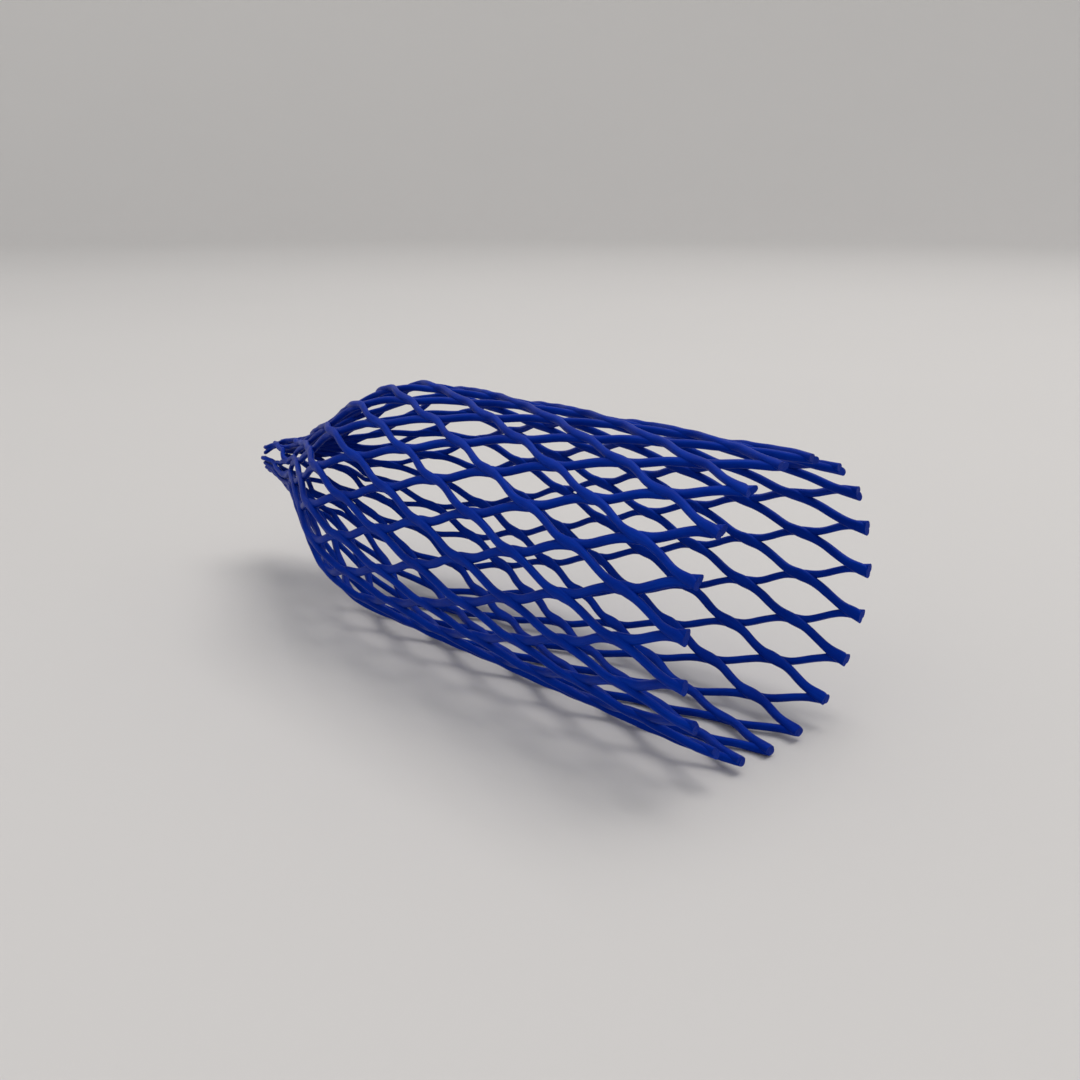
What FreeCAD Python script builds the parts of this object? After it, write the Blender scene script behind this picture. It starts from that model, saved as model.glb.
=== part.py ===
import FreeCAD, Part
import math
import os

os.makedirs("parts", exist_ok=True)

# A stretched diamond-mesh sleeve lying on its side: +X towards the open mouth, +Z up, sizes in mm.
# It is two counter-wound families of plastic strands. The outer family lies on the inner one, and
# they meet, flat to flat, on one mid surface at the welds, where a strand of each family crosses.

# Overall
overall_length = 180.0
sleeve_radius = 29.0        # axis to the mid surface on the straight length
neck_end_radius = 4.2       # axis to the mid surface at the gathered end

# Lattice
strands_per_family = 19
diamond_side = 15.2         # strand length from one weld to the next
mouth_stub = 2.0            # cut ends beyond the first ring of welds
weld_waver = 0.5            # 0 = plain helix, 1 = strands run along the axis through each weld
lattice_roll = -1.5         # degrees from the underside to the nearest line of mouth welds

# Strand section
strand_width = 1.8
layer_thickness = 1.35
weld_gap = 0.10             # radial gap left between the two layers
neck_crowding = 0.86        # largest strand width over strand pitch, where the neck squeezes them

# Gathered end: shoulder arc, cone, reverse arc, straight neck
shoulder_radius = 34.0
cone_angle = math.radians(26.0)
neck_arc_radius = 40.0
neck_angle = math.radians(11.0)
neck_length = 17.0

# Underside pressed flat where the sleeve rests
press_depth = 0.6
press_sharpness = 60        # exponent of the blend between round and flat

# Build resolution
march_step = 0.05
sections_per_row = 6
sew_tolerance = 0.001
arch_control = ((1.0, 0.0), (1.02, 0.5), (0.7, 1.0), (0.0, 1.0), (-0.7, 1.0), (-1.02, 0.5), (-1.0, 0.0))

weld_angle = math.pi / strands_per_family
arc_drop = (shoulder_radius * (1 - math.cos(cone_angle))
            + neck_arc_radius * (math.cos(neck_angle) - math.cos(cone_angle)))
cone_drop = sleeve_radius - neck_end_radius - arc_drop - neck_length * math.sin(neck_angle)
cone_length = cone_drop / math.sin(cone_angle)
gather_length = (shoulder_radius * math.sin(cone_angle) + cone_length * math.cos(cone_angle)
                 + neck_arc_radius * (math.sin(cone_angle) - math.sin(neck_angle))
                 + neck_length * math.cos(neck_angle))
straight_length = overall_length - gather_length


def meridian_slope(s):
    """Inward slope at distance s along the meridian from the mouth."""
    s -= straight_length
    if s < 0:
        return 0.0
    if s < shoulder_radius * cone_angle:
        return s / shoulder_radius
    s -= shoulder_radius * cone_angle + cone_length
    if s < 0:
        return cone_angle
    return max(neck_angle, cone_angle - s / neck_arc_radius)


def row_height(radius):
    """Meridian distance between weld rings: the strands do not stretch, so it grows as they gather."""
    return math.sqrt(diamond_side ** 2 - (weld_angle * radius) ** 2)


def march_meridian():
    """List of (row, distance from the mouth along the axis, radius, slope); row 0 is the mouth's ring."""
    radius = sleeve_radius
    row = -mouth_stub / row_height(radius)
    x = s = 0.0
    stations = []
    while x < overall_length:
        slope = meridian_slope(s)
        stations.append((row, x, radius, slope))
        row += march_step / row_height(radius)
        x += march_step * math.cos(slope)
        radius -= march_step * math.sin(slope)
        s += march_step
    stations.append((row, overall_length, radius, slope))
    return stations


stations = march_meridian()
first_row, last_row = stations[0][0], stations[-1][0]


def station_at(row):
    """Position along +X, mid radius and slope at a fractional row."""
    low, high = 0, len(stations) - 1
    while high - low > 1:
        middle = (low + high) // 2
        if stations[middle][0] > row:
            high = middle
        else:
            low = middle
    a, b = stations[low], stations[high]
    share = min(1.0, max(0.0, (row - a[0]) / (b[0] - a[0])))
    x, radius, slope = (a[i] + share * (b[i] - a[i]) for i in (1, 2, 3))
    return overall_length / 2 - x, radius, slope


def mid_radius(radius, angle):
    """Mid surface radius at an angle about the axis, with the underside pressed flat."""
    down = -math.sin(angle)
    if down <= 0:
        return radius
    flat = (sleeve_radius - press_depth) / down
    return (radius ** -press_sharpness + flat ** -press_sharpness) ** (-1.0 / press_sharpness)


axis_height = mid_radius(sleeve_radius, -math.pi / 2) + weld_gap / 2 + layer_thickness


def on_layer(x, radius, angle, side, height):
    """Point at a radial height above (side +1) or below (side -1) the mid surface."""
    r = mid_radius(radius, angle) + side * (weld_gap / 2 + height)
    return FreeCAD.Vector(x, r * math.cos(angle), axis_height + r * math.sin(angle))


def strand_section(row, side, start):
    """Control points in a plane across the axis: an arch, and the flat that it stands on."""
    x, radius, slope = station_at(row)
    turn = row - weld_waver * math.sin(2 * math.pi * row) / (2 * math.pi)
    angle = start - side * weld_angle * turn
    rate = weld_angle * (1 - weld_waver * math.cos(2 * math.pi * row))
    full_width = strand_width * math.hypot(1.0, rate * radius / row_height(radius))
    width = min(full_width, neck_crowding * 2 * weld_angle * radius)
    thickness = layer_thickness * math.sqrt(width / full_width) / math.cos(slope)
    half = width / 2 / radius
    arch = [on_layer(x, radius, angle + half * across, side, thickness * up) for across, up in arch_control]
    bulge = radius * (1 / math.cos(half) - 1)
    middle = on_layer(x, radius, angle, side, side * bulge)
    return arch, [arch[0], middle, arch[-1]]


def spline_face(grid, degree_across):
    """Clamped spline face with one row of control points for each section."""
    knots, multiplicities = [], []
    for count, degree in ((len(grid), 3), (len(grid[0]), degree_across)):
        spans = count - degree
        knots.append(list(range(spans + 1)))
        multiplicities.append([degree + 1] + [1] * (spans - 1) + [degree + 1])
    surface = Part.BSplineSurface()
    surface.buildFromPolesMultsKnots(grid, multiplicities[0], multiplicities[1], knots[0], knots[1],
                                     False, False, 3, degree_across)
    return surface.toShape()


def cap_at(faces, x):
    """Flat end of a strand, closed by the edges of its long faces that lie at x."""
    edges = [edge for face in faces for edge in face.Edges
             if all(abs(vertex.Point.x - x) < sew_tolerance for vertex in edge.Vertexes)]
    return Part.Face(Part.Wire(Part.sortEdges(edges)[0]))


def build_strand(side, start):
    steps = int(round((last_row - first_row) * sections_per_row))
    rows = [first_row + (last_row - first_row) * i / steps for i in range(steps + 1)]
    arches, flats = zip(*[strand_section(row, side, start) for row in rows])
    faces = [spline_face(list(arches), 3), spline_face(list(flats), 2)]
    faces += [cap_at(faces, x) for x in (overall_length / 2, -overall_length / 2)]
    skin = Part.Compound(faces)
    skin.sewShape(sew_tolerance)
    strand = Part.makeSolid(skin.Shells[0])
    return strand if strand.Volume > 0 else strand.reversed()


for side, family in ((1, "outer_strand"), (-1, "inner_strand")):
    for number in range(strands_per_family):
        start = math.radians(lattice_roll - 90) + 2 * weld_angle * number
        build_strand(side, start).exportStep("parts/%s_%02d.step" % (family, number + 1))
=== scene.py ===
import math

import bmesh
import bpy
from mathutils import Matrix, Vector


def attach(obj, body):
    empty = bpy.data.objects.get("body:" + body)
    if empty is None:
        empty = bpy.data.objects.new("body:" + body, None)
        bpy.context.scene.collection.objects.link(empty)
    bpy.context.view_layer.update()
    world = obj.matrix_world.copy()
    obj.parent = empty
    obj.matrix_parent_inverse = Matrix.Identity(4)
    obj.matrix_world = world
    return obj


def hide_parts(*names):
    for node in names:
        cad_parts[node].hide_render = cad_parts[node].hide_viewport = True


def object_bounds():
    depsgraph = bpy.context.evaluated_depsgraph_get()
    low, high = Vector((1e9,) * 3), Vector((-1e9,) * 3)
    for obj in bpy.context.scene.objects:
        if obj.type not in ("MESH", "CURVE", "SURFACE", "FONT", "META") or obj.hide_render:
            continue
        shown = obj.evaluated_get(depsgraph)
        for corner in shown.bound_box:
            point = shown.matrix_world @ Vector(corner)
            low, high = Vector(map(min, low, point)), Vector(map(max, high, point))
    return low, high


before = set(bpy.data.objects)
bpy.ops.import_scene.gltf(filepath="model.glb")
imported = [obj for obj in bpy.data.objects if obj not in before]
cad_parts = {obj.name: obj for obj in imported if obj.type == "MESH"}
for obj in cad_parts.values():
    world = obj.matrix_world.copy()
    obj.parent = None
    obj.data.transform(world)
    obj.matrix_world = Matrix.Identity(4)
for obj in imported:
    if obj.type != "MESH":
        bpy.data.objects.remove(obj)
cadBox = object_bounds()
outerNodes = sorted(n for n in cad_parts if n.startswith("outer"))
innerNodes = sorted(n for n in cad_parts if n.startswith("inner"))
lowCorner, highCorner = [Vector(c) for c in cadBox]
print("frame loaded:", len(outerNodes), "outer and", len(innerNodes), "inner strands")


# wraps a node socket, so that node maths reads as an expression
class Sock:
    def __init__(self, tree, socket):
        self.tree, self.socket = tree, socket

    def mathNode(self, operation, *values):
        return self.tree.add("ShaderNodeMath", {"operation": operation}, *values)

    def __add__(self, other):
        return self.mathNode("ADD", self, other)

    def __radd__(self, other):
        return self.mathNode("ADD", other, self)

    def __sub__(self, other):
        return self.mathNode("SUBTRACT", self, other)

    def __rsub__(self, other):
        return self.mathNode("SUBTRACT", other, self)

    def __mul__(self, other):
        return self.mathNode("MULTIPLY", self, other)

    def __rmul__(self, other):
        return self.mathNode("MULTIPLY", other, self)

    def __truediv__(self, other):
        return self.mathNode("DIVIDE", self, other)

    def __rtruediv__(self, other):
        return self.mathNode("DIVIDE", other, self)

    def __pow__(self, other):
        return self.mathNode("POWER", self, other)

    def __neg__(self):
        return self.mathNode("MULTIPLY", self, -1.0)

    def sin(self):
        return self.mathNode("SINE", self)

    def cos(self):
        return self.mathNode("COSINE", self)

    def abs(self):
        return self.mathNode("ABSOLUTE", self)

    def sqrt(self):
        return self.mathNode("SQRT", self)

    def least(self, other):
        return self.mathNode("MINIMUM", self, other)

    def most(self, other):
        return self.mathNode("MAXIMUM", self, other)

    def below(self, other):
        return self.mathNode("LESS_THAN", self, other)

    def above(self, other):
        return self.mathNode("GREATER_THAN", self, other)

    def angleWith(self, other):
        return self.mathNode("ARCTAN2", self, other)

    def clamp(self):
        return self.least(1.0).most(0.0)

    def out(self, name):
        return Sock(self.tree, self.socket.node.outputs[name])


# adds nodes to a node tree, settings first and then the values or links of their sockets
class Tree:
    def __init__(self, nodeTree):
        self.nodeTree = nodeTree

    def add(self, nodeType, settings=None, *values, **named):
        node = self.nodeTree.nodes.new(nodeType)
        for key, value in (settings or {}).items():
            if key == "stops":
                ramp = node.color_ramp
                while len(ramp.elements) < len(value):
                    ramp.elements.new(0.5)
                for element, (position, colour) in zip(ramp.elements, value):
                    element.position, element.color = position, (*colour, 1.0)
            else:
                setattr(node, key, value)
        targets = list(zip([s for s in node.inputs if s.enabled], values))
        targets += [(self.inputOf(node, name), value) for name, value in named.items()]
        for target, value in targets:
            if isinstance(value, Sock):
                self.nodeTree.links.new(value.socket, target)
            elif value is not None:
                target.default_value = value
        shown = [s for s in node.outputs if s.enabled]
        return Sock(self, shown[0]) if shown else node

    def vector(self, x, y, z):
        return self.add("ShaderNodeCombineXYZ", None, x, y, z)

    # three noises, each between 0 and 1, at a place
    def noise4(self, place, seed):
        noise = self.add("ShaderNodeTexNoise", {"noise_dimensions": "4D"}, place, seed, 1.0, 2.0, 0.5)
        return self.add("ShaderNodeSeparateXYZ", None, noise.out("Color"))

    def inputOf(self, node, name):
        return next(s for s in node.inputs if s.enabled and s.name.replace(" ", "") == name)


netting = {
    "strands": 19,              # in each layer
    "radius": 0.0290,           # axis to where the layers meet
    "neckEndRadius": 0.0042,
    "diamondSide": 0.0152,      # strand length between welds
    "mouthStub": 0.0020,
    "waver": 0.5,               # 0 plain helix, 1 along the axis through each weld
    "roll": math.radians(-1.5),
    "width": 0.00165,
    "outerShare": 0.92,         # of that width, in the outer layer
    "innerShare": 1.14,
    "thickness": 0.00160,
    "neckCrowding": 0.92,
    "neckThin": 0.17,           # strands were drawn thinner towards the neck
    "neckSqueeze": 0.26,        # and the bunch is pulled tighter at its end
    "thinSpan": (0.97, 0.42),   # where each starts and is complete, in shares of the radius
    "gatherSpan": (0.42, 0.20),
    "squeezeSpan": (0.27, 0.15),
    "shoulderRadius": 0.034,
    "coneAngle": math.radians(26.0),
    "neckArcRadius": 0.040,
    "neckAngle": math.radians(11.0),
    "neckLength": 0.017,
    "pressDepth": 0.0006,       # underside flattened where it rests
    "pressSharpness": 60.0,     # how suddenly round turns to flat
    "underside": 0.0014,        # from where the layers meet down to the floor
    "melt": 0.00029,            # how far each layer sinks into the other
    "weldMelt": 0.00013,        # and further at a weld
    "weldSpread": 0.38,         # wider at a weld by this share
    "weldFlatten": 0.10,        # and thinner
    "sag": 0.00022,             # layers draw together between welds
    "squareness": 2.5,          # of a strand's section, 2 is an ellipse
    "widthVary": 0.34,          # unevenness along a strand
    "thicknessVary": 0.20,
    "slack": 0.00022,           # how far strands stray from the rule
    "neckSlack": 0.0009,
    "strayLength": 1 / 75.0,    # of the slow wander of both layers
    "ownLength": 1 / 170.0,     # and of a strand's own unevenness
    "bunching": 2.9,            # strands crowd to two sides of the neck and leave it open between
    "bunchTurn": math.radians(134.0),
    "mouthTrim": 0.0002,
    "mouthSlant": 0.0009,       # the mouth was not cut quite square
    "mouthRagged": 0.0005,
    "neckRagged": 0.0034,
    "tipSpread": 0.00034,       # the two ends of a cut weld spring apart
    "tipNotch": 0.32,           # and leave a notch between them
    "tipMelt": 0.00016,         # but they are sunk deeper into each other
    "alongSteps": 200,
    "aroundSteps": 14,
    "seed": 7,
}


# profile of the sleeve from the mouth: x, radius and row, with row 0 at the first ring of welds
def meridianPoints(size, step=0.00005):
    cone, neck = size["coneAngle"], size["neckAngle"]
    arcDrop = (size["shoulderRadius"] * (1 - math.cos(cone))
               + size["neckArcRadius"] * (math.cos(neck) - math.cos(cone)))
    coneDrop = size["radius"] - size["neckEndRadius"] - arcDrop - size["neckLength"] * math.sin(neck)
    coneRun = coneDrop / math.sin(cone)
    gather = (size["shoulderRadius"] * math.sin(cone) + coneRun * math.cos(cone)
              + size["neckArcRadius"] * (math.sin(cone) - math.sin(neck))
              + size["neckLength"] * math.cos(neck))
    straight = highCorner.x - lowCorner.x - gather
    coneStart = size["shoulderRadius"] * cone
    weldAngle = math.pi / size["strands"]

    def rowHeight(radius):
        return math.sqrt(size["diamondSide"] ** 2 - (weldAngle * radius) ** 2)

    x, radius, run = highCorner.x, size["radius"], -straight
    row = -size["mouthStub"] / rowHeight(radius)
    points = []
    while x > lowCorner.x:
        if run < 0:
            slope = 0.0
        elif run < coneStart:
            slope = run / size["shoulderRadius"]
        elif run < coneStart + coneRun:
            slope = cone
        else:
            slope = max(neck, cone - (run - coneStart - coneRun) / size["neckArcRadius"])
        points.append((x, radius, row))
        row += step / rowHeight(radius)
        x -= step * math.cos(slope)
        radius -= step * math.sin(slope)
        run += step
    points.append((lowCorner.x, radius, row))
    return points


# the profile as a line of points that carry their row number
def meridianObject(size):
    points = meridianPoints(size)[::10]
    mesh = bpy.data.meshes.new("sleeveProfile")
    links = [(i, i + 1) for i in range(len(points) - 1)]
    mesh.from_pydata([(x, radius, 0.0) for x, radius, row in points], links, [])
    rows = mesh.attributes.new("row", "FLOAT", "POINT")
    rows.data.foreach_set("value", [row for x, radius, row in points])
    ob = bpy.data.objects.new("sleeveProfile", mesh)
    bpy.context.scene.collection.objects.link(ob)
    return ob


def namedInputs(group, floats):
    group.interface.new_socket("Geometry", in_out="INPUT", socket_type="NodeSocketGeometry")
    for name, value in floats.items():
        kind = "NodeSocketInt" if isinstance(value, int) else "NodeSocketFloat"
        group.interface.new_socket(name, in_out="INPUT", socket_type=kind).default_value = value
    group.interface.new_socket("Material", in_out="INPUT", socket_type="NodeSocketMaterial")
    group.interface.new_socket("Geometry", in_out="OUTPUT", socket_type="NodeSocketGeometry")


# lays one layer of strands along the profile: a sheet of points is rolled round the path of each strand
def strandTree(size):
    group = bpy.data.node_groups.new("strandLayer", "GeometryNodeTree")
    shared = ["strands", "radius", "diamondSide", "waver", "roll", "width", "thickness", "neckCrowding",
              "neckThin", "neckSqueeze", "pressDepth", "melt", "weldMelt", "weldSpread", "sag", "slack",
              "neckSlack", "bunching", "bunchTurn", "mouthSlant", "mouthRagged", "neckRagged", "tipSpread",
              "tipNotch", "tipMelt", "alongSteps", "aroundSteps", "seed"]
    inputs = {"side": 1.0, "axisHeight": size["radius"], "mouthX": highCorner.x,
              **{name: size[name] for name in shared}}
    namedInputs(group, inputs)
    t = Tree(group)
    start = group.nodes.new("NodeGroupInput")
    value = {name: Sock(t, start.outputs[name]) for name in list(inputs) + ["Geometry", "Material"]}
    side, strands, radius0 = value["side"], value["strands"], value["radius"]
    weldAngle = math.pi / strands

    sheet = t.add("GeometryNodeMeshGrid", None, 1.0, 1.0,
                  value["alongSteps"] + 3.0, value["aroundSteps"] + 1.0)
    sheet = t.add("GeometryNodeStoreNamedAttribute", {"data_type": "FLOAT_VECTOR", "domain": "POINT"},
                  sheet, None, "sheet", sheet.out("UV Map"))
    spots = t.add("GeometryNodeMeshLine", None, strands)
    spots = t.add("GeometryNodeStoreNamedAttribute", {"data_type": "FLOAT", "domain": "POINT"},
                  spots, None, "strand", t.add("GeometryNodeInputIndex"))
    layer = t.add("GeometryNodeInstanceOnPoints", None, spots, None, sheet)
    layer = t.add("GeometryNodeRealizeInstances", None, layer)

    sheetPlace = t.add("ShaderNodeSeparateXYZ", None,
                       t.add("GeometryNodeInputNamedAttribute", {"data_type": "FLOAT_VECTOR"}, "sheet"))
    strand = t.add("GeometryNodeInputNamedAttribute", {"data_type": "FLOAT"}, "strand")
    endRow = 1.0 / (value["alongSteps"] + 2.0)
    alongSheet, around = sheetPlace.out("X"), sheetPlace.out("Y")
    along = ((alongSheet - endRow) / (1.0 - 2.0 * endRow)).clamp()
    bodyRow = alongSheet.above(endRow * 0.5) * alongSheet.below(1.0 - endRow * 0.5)    # 0 where ends close

    # where each strand was cut
    cutAngle = value["roll"] - math.pi / 2 + 2.0 * weldAngle * strand
    chance = t.noise4(t.vector(strand * 1.37, 4.2, 0.7), value["seed"])
    ownChance = t.noise4(t.vector(strand * 1.91, side * 3.3, 9.4), value["seed"])
    slant = value["mouthSlant"] * 0.5 * (1.0 - cutAngle.sin())
    mouthTrim = size["mouthTrim"] + slant + value["mouthRagged"] * (chance.out("X") * 2.0 - 0.7).clamp()
    neckTrim = value["neckRagged"] * (ownChance.out("Y") * 3.0 - 1.0).clamp()

    profile = t.add("GeometryNodeMeshToCurve", None, value["Geometry"])
    fullRun = t.add("GeometryNodeCurveLength", None, profile)
    run = mouthTrim + along * (fullRun - mouthTrim - neckTrim)
    rowAttribute = t.add("GeometryNodeInputNamedAttribute", {"data_type": "FLOAT"}, "row")
    sample = t.add("GeometryNodeSampleCurve", {"mode": "LENGTH", "data_type": "FLOAT"},
                   profile, rowAttribute, run)
    row = sample.out("Value")
    spot = t.add("ShaderNodeSeparateXYZ", None, sample.out("Position"))
    lean = t.add("ShaderNodeSeparateXYZ", None, sample.out("Tangent"))
    x, radius = spot.out("X"), spot.out("Y")
    slopeCos = lean.out("X").abs().most(0.2)

    wave = row * (2 * math.pi)
    turn = row - value["waver"] * wave.sin() / (2 * math.pi)
    rate = weldAngle * (1.0 - value["waver"] * wave.cos())
    rowHeight = (value["diamondSide"] * value["diamondSide"] - (weldAngle * radius) ** 2.0).sqrt()
    tilt = rate * radius / rowHeight
    pathAngle = cutAngle - side * weldAngle * turn
    weld = ((wave.cos() + 1.0) * 0.5) ** 3.0                       # 1 at each weld, 0 between
    between = (1.0 - wave.cos()) * 0.5

    def gatheredOver(span):       # 0 on the wide side of the span and 1 on the narrow side
        first, last = span
        return ((radius0 * first - radius) / (radius0 * (first - last))).clamp()

    gathered = gatheredOver(size["gatherSpan"])

    # a slow stray that both layers share, so that welds stay together
    strayPlace = t.vector(x / size["strayLength"], pathAngle.cos() * 2.2, pathAngle.sin() * 2.2)
    stray = t.noise4(strayPlace, value["seed"])
    strayAmount = value["slack"] + gathered * value["neckSlack"]
    sideways = (stray.out("X") - 0.5) * 4.0 * strayAmount
    outwards = (stray.out("Y") - 0.5) * 3.0 * gathered * value["neckSlack"]
    # unevenness that belongs to a single strand
    own = t.noise4(t.vector(x / size["ownLength"], strand * 3.7, side * 5.0), value["seed"])
    outwards = outwards + (own.out("Z") - 0.5) * 1.6 * gathered * value["neckSlack"]

    pitch = 2.0 * weldAngle * radius
    drawn = 1.0 - value["neckThin"] * gatheredOver(size["thinSpan"])
    fullWidth = (value["width"] * drawn * (1.0 + value["weldSpread"] * weld)
                 * (1.0 + (own.out("X") - 0.5) * size["widthVary"]))
    width = fullWidth.least(value["neckCrowding"] * pitch)
    thickness = (value["thickness"] * drawn * (width / fullWidth).sqrt() / slopeCos
                 * (1.0 - size["weldFlatten"] * weld) * (1.0 + (own.out("Y") - 0.5) * size["thicknessVary"]))

    # the section is a rounded bar that stands on the surface where the layers meet
    ring = around * (2 * math.pi)
    power = size["squareness"]
    squarish = (ring.cos().abs() ** power + ring.sin().abs() ** power) ** (-1.0 / power)
    across = ring.cos() * squarish * width * 0.5 * bodyRow
    up = 0.5 + 0.5 * ring.sin() * squarish * bodyRow
    tip = (-8.0 * row).clamp()
    height = side * (up * thickness - value["melt"] - value["weldMelt"] * weld - value["tipMelt"] * tip
                     - value["sag"] * between * (1.0 - gathered))

    # the section stays square to the run of its own strand
    stretch = (1.0 + tilt * tilt).sqrt()
    notch = value["tipNotch"] * (chance.out("Z") * 3.0 - 0.5) * tip
    placeX = x + side * across * (notch - tilt / stretch)
    placeX = placeX.least(value["mouthX"]).most(-1.0 * value["mouthX"])
    fromGap = pathAngle + (sideways + side * value["tipSpread"] * tip) / radius - value["bunchTurn"]
    crowded = (fromGap.sin() * (1.0 + gathered * (value["bunching"] - 1.0))).angleWith(fromGap.cos())
    angle = value["bunchTurn"] + crowded + across / stretch / radius

    # round, but pressed flat underneath
    down = (-angle.sin()).most(0.05)
    sharpness = size["pressSharpness"]
    overFlat = radius * down / (radius0 - value["pressDepth"])
    pressed = radius * (1.0 + overFlat ** sharpness) ** (-1.0 / sharpness)
    squeeze = 1.0 - value["neckSqueeze"] * gatheredOver(size["squeezeSpan"])
    distance = pressed * squeeze + height + outwards
    place = t.vector(placeX, distance * angle.cos(), value["axisHeight"] + distance * angle.sin())

    layer = t.add("GeometryNodeSetPosition", None, layer, None, place)
    marks = {"alongStrand": row * value["diamondSide"], "acrossStrand": around, "weldMask": weld,
             "neckMask": gathered, "strandTone": ownChance.out("Z")}
    for name, amount in marks.items():
        layer = t.add("GeometryNodeStoreNamedAttribute", {"data_type": "FLOAT", "domain": "POINT"},
                      layer, None, name, amount)
    layer = t.add("GeometryNodeMergeByDistance", None, layer, None, 0.000002)
    layer = t.add("GeometryNodeSetShadeSmooth", {"domain": "FACE"}, layer, None, True)
    layer = t.add("GeometryNodeRealizeInstances", None, layer)
    layer = t.add("GeometryNodeSetMaterial", None, layer, None, value["Material"])
    end = group.nodes.new("NodeGroupOutput")
    group.links.new(layer.socket, end.inputs["Geometry"])
    return group


def setInput(modifier, name, value):
    item = next(i for i in modifier.node_group.interface.items_tree
                if i.item_type == "SOCKET" and i.in_out == "INPUT" and i.name == name)
    modifier[item.identifier] = value


# runs the tree once and keeps its result as a plain mesh
def bakedPiece(name, source, group, values):
    modifier = source.modifiers.new(name, "NODES")
    modifier.node_group = group
    for key, value in values.items():
        setInput(modifier, key, value)
    bpy.context.view_layer.update()
    depsgraph = bpy.context.evaluated_depsgraph_get()
    mesh = bpy.data.meshes.new_from_object(source.evaluated_get(depsgraph), depsgraph=depsgraph)
    source.modifiers.remove(modifier)
    mesh.name = name
    piece = bpy.data.objects.new(name, mesh)
    bpy.context.scene.collection.objects.link(piece)
    return piece


def facesOut(piece, crisp=math.radians(50)):
    bm = bmesh.new()
    bm.from_mesh(piece.data)
    bmesh.ops.remove_doubles(bm, verts=bm.verts, dist=2e-6)
    bmesh.ops.recalc_face_normals(bm, faces=bm.faces)
    for edge in bm.edges:
        edge.smooth = edge.calc_face_angle(0.0) < crisp      # the cut ends keep their edge
    bm.to_mesh(piece.data)
    bm.free()


# deep and bright are the two ends of the plastic's clouding; chalk is the bloom on its die lines and, near
# the neck, also a painted highlight
plastic = {
    "deep": (0.0005, 0.0160, 0.232),
    "bright": (0.0010, 0.0315, 0.352),
    "chalk": (0.008, 0.065, 0.420),
    "roughness": 0.42,
    "gloss": 0.09,
    "glossTint": (0.10, 0.30, 1.0),
}


def bluePlastic(name, look):
    material = bpy.data.materials.new(name)
    material.use_nodes = True
    material.node_tree.nodes.clear()
    t = Tree(material.node_tree)
    along = t.add("ShaderNodeAttribute", {"attribute_name": "alongStrand"}).out("Fac")
    across = t.add("ShaderNodeAttribute", {"attribute_name": "acrossStrand"}).out("Fac")
    weld = t.add("ShaderNodeAttribute", {"attribute_name": "weldMask"}).out("Fac")
    neck = t.add("ShaderNodeAttribute", {"attribute_name": "neckMask"}).out("Fac")
    tone = t.add("ShaderNodeAttribute", {"attribute_name": "strandTone"}).out("Fac")
    place = t.add("ShaderNodeTexCoord").out("Object")
    ring = across * (2 * math.pi)
    # die lines run along the strand, cloud and specks follow the place
    lines = t.add("ShaderNodeTexNoise", {"noise_dimensions": "3D"},
                  t.vector(along * 90.0 + tone * 40.0, ring.cos() * 5.0, ring.sin() * 5.0), 1.0, 3.0, 0.6)
    cloud = t.add("ShaderNodeTexNoise", {"noise_dimensions": "3D"}, place, 160.0, 3.0, 0.55)
    specks = t.add("ShaderNodeTexNoise", {"noise_dimensions": "3D"}, place, 1400.0, 2.0, 0.5)
    shade = lines * 0.40 + cloud * 0.45 + tone * 0.15
    body = t.add("ShaderNodeValToRGB", {"stops": [(0.36, look["deep"]), (0.66, look["bright"])]}, shade)
    # bloom along the die lines, laid on more near the neck, where the extra is a painted highlight
    bloomAndNeckHighlight = ((lines - 0.58 + neck * 0.05) * 5.0).clamp() * (0.24 + neck * 0.12)
    colour = t.add("ShaderNodeMix", {"data_type": "RGBA"}, bloomAndNeckHighlight, body, (*look["chalk"], 1.0))
    rough = look["roughness"] + (cloud - 0.5) * 0.24 + weld * 0.05
    bump = t.add("ShaderNodeBump", None, 0.4, 0.00012, Height=lines * 0.7 + specks * 0.3)
    shader = t.add("ShaderNodeBsdfPrincipled", None, BaseColor=colour, Roughness=rough, Normal=bump,
                   SpecularIORLevel=look["gloss"], SpecularTint=(*look["glossTint"], 1.0))
    out = material.node_tree.nodes.new("ShaderNodeOutputMaterial")
    material.node_tree.links.new(shader.socket, out.inputs["Surface"])
    return material


def buildNetting():
    profile = meridianObject(netting)
    group = strandTree(netting)
    finish = bluePlastic("bluePolyethylene", plastic)
    flat, sharpness = netting["radius"] - netting["pressDepth"], netting["pressSharpness"]
    underRadius = flat * (1 + (flat / netting["radius"]) ** sharpness) ** (-1 / sharpness)
    axisHeight = underRadius + netting["underside"]
    for name, side, share, nodes in (("outerLayer", 1.0, netting["outerShare"], outerNodes),
                                     ("innerLayer", -1.0, netting["innerShare"], innerNodes)):
        values = {"side": side, "axisHeight": axisHeight, "mouthX": highCorner.x,
                  "width": netting["width"] * share, "Material": finish}
        piece = bakedPiece(name, profile, group, values)
        facesOut(piece)
        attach(piece, "root")
        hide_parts(*nodes)
        print(name, "laid:", len(piece.data.polygons), "faces")
    bpy.data.objects.remove(profile)


buildNetting()


studio = {
    "floorColour": (0.62, 0.60, 0.585),
    "wallColour": (0.73, 0.71, 0.69),
    "floorRadius": 1.9,
    "bendRadius": 0.9,
    "wallHeight": 1.6,
    "keyPower": 21.0,
    "keySize": 1.3,
    "fillPower": 4.0,
    "fillSize": 1.6,
    "skyStrength": 0.62,
    "skyColour": (0.95, 0.975, 1.0),
    "lampColour": (1.0, 0.975, 0.95),
    "cameraPlace": (0.20300, -0.17135, 0.10643),
    "cameraHeading": math.radians(136.33),
    "cameraPitch": math.radians(-17.31),
    "lens": 38.53,
}


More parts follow.
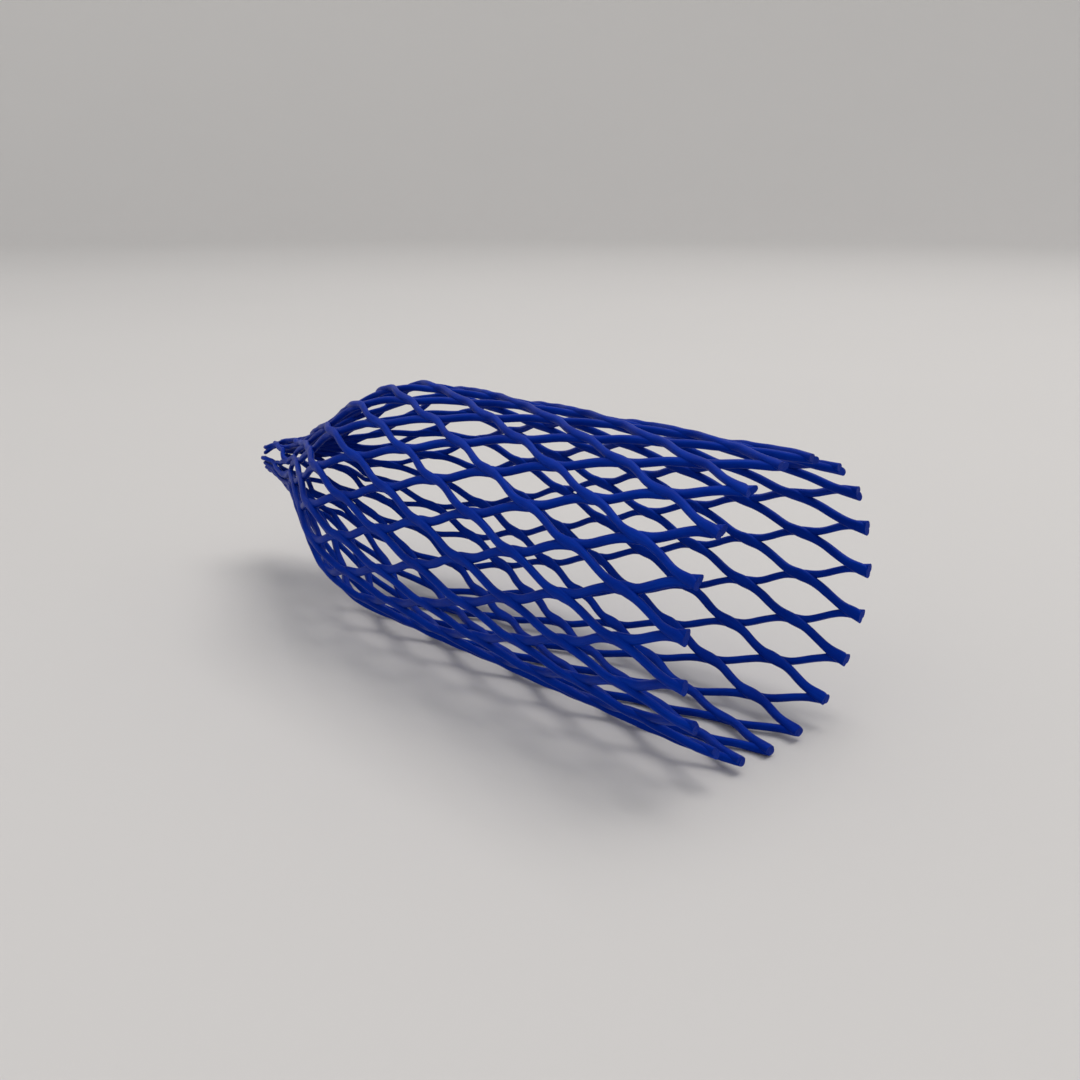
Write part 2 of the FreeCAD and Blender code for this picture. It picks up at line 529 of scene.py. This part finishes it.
def floorMaterial():
    material = bpy.data.materials.new("paleFloor")
    material.use_nodes = True
    material.node_tree.nodes.clear()
    t = Tree(material.node_tree)
    place = t.add("ShaderNodeTexCoord").out("Object")
    cloud = t.add("ShaderNodeTexNoise", {"noise_dimensions": "3D"}, place, 3.0, 2.0, 0.5)
    low = tuple(c * 0.985 for c in studio["floorColour"])
    ground = t.add("ShaderNodeValToRGB", {"stops": [(0.3, low), (0.7, studio["floorColour"])]}, cloud)
    rise = (t.add("ShaderNodeSeparateXYZ", None, place).out("Z") * 1.4).clamp()
    colour = t.add("ShaderNodeMix", {"data_type": "RGBA"}, rise, ground, (*studio["wallColour"], 1.0))
    shader = t.add("ShaderNodeBsdfPrincipled", None, BaseColor=colour, Roughness=0.75)
    out = material.node_tree.nodes.new("ShaderNodeOutputMaterial")
    material.node_tree.links.new(shader.socket, out.inputs["Surface"])
    return material


def buildStudio():
    heading = Vector((math.cos(studio["cameraHeading"]), math.sin(studio["cameraHeading"]), 0.0))
    flat, bend, wall = studio["floorRadius"], studio["bendRadius"], studio["wallHeight"]
    profile = [(0.4, 0.0), (flat, 0.0)]
    for degrees in range(5, 95, 5):
        bent = math.radians(degrees)
        profile.append((flat + bend * math.sin(bent), bend - bend * math.cos(bent)))
    profile.append((flat + bend, wall))
    turns = 96
    verts = [(0.0, 0.0, 0.0)]
    for radius, height in profile:
        for k in range(turns):
            turned = 2 * math.pi * k / turns
            verts.append((radius * math.cos(turned), radius * math.sin(turned), height))
    faces = [(0, 1 + k, 1 + (k + 1) % turns) for k in range(turns)]
    for i in range(len(profile) - 1):
        ring, nextRing = 1 + i * turns, 1 + (i + 1) * turns
        for k in range(turns):
            after = (k + 1) % turns
            faces.append((ring + k, nextRing + k, nextRing + after, ring + after))
    mesh = bpy.data.meshes.new("sweep")
    mesh.from_pydata(verts, [], faces)
    for polygon in mesh.polygons:
        polygon.use_smooth = True
    sweep = bpy.data.objects.new("sweep", mesh)
    bpy.context.scene.collection.objects.link(sweep)
    mesh.materials.append(floorMaterial())

    world = bpy.data.worlds.new("softRoom")
    bpy.context.scene.world = world
    world.use_nodes = True
    background = world.node_tree.nodes["Background"]
    background.inputs["Color"].default_value = (*studio["skyColour"], 1.0)
    background.inputs["Strength"].default_value = studio["skyStrength"]

    centre = Vector((0.0, 0.0, 0.03))
    right = Vector((-heading.y, heading.x, 0.0)) * -1.0
    keyOffset = right * 0.6 + heading * 0.45 + Vector((0, 0, 1.9))
    fillOffset = right * -1.4 - heading * 1.0 + Vector((0, 0, 1.4))
    for name, offset, size, power in (("keyLight", keyOffset, studio["keySize"], studio["keyPower"]),
                                      ("fillLight", fillOffset, studio["fillSize"], studio["fillPower"])):
        light = bpy.data.lights.new(name, "AREA")
        light.shape, light.size, light.energy, light.color = "SQUARE", size, power, studio["lampColour"]
        lamp = bpy.data.objects.new(name, light)
        lamp.location = centre + offset
        lamp.rotation_euler = (-offset).to_track_quat("-Z", "Y").to_euler()
        bpy.context.scene.collection.objects.link(lamp)

    camera = bpy.data.objects.new("camera", bpy.data.cameras.new("camera"))
    camera.data.lens = studio["lens"]
    camera.data.sensor_width = 36.0
    camera.data.clip_start = 0.005
    camera.location = studio["cameraPlace"]
    pitch = studio["cameraPitch"]
    look = heading * math.cos(pitch) + Vector((0, 0, math.sin(pitch)))
    camera.rotation_euler = look.to_track_quat("-Z", "Y").to_euler()
    bpy.context.scene.collection.objects.link(camera)
    bpy.context.scene.camera = camera
    print("studio set")


buildStudio()
bpy.context.scene.view_settings.view_transform = "Standard"
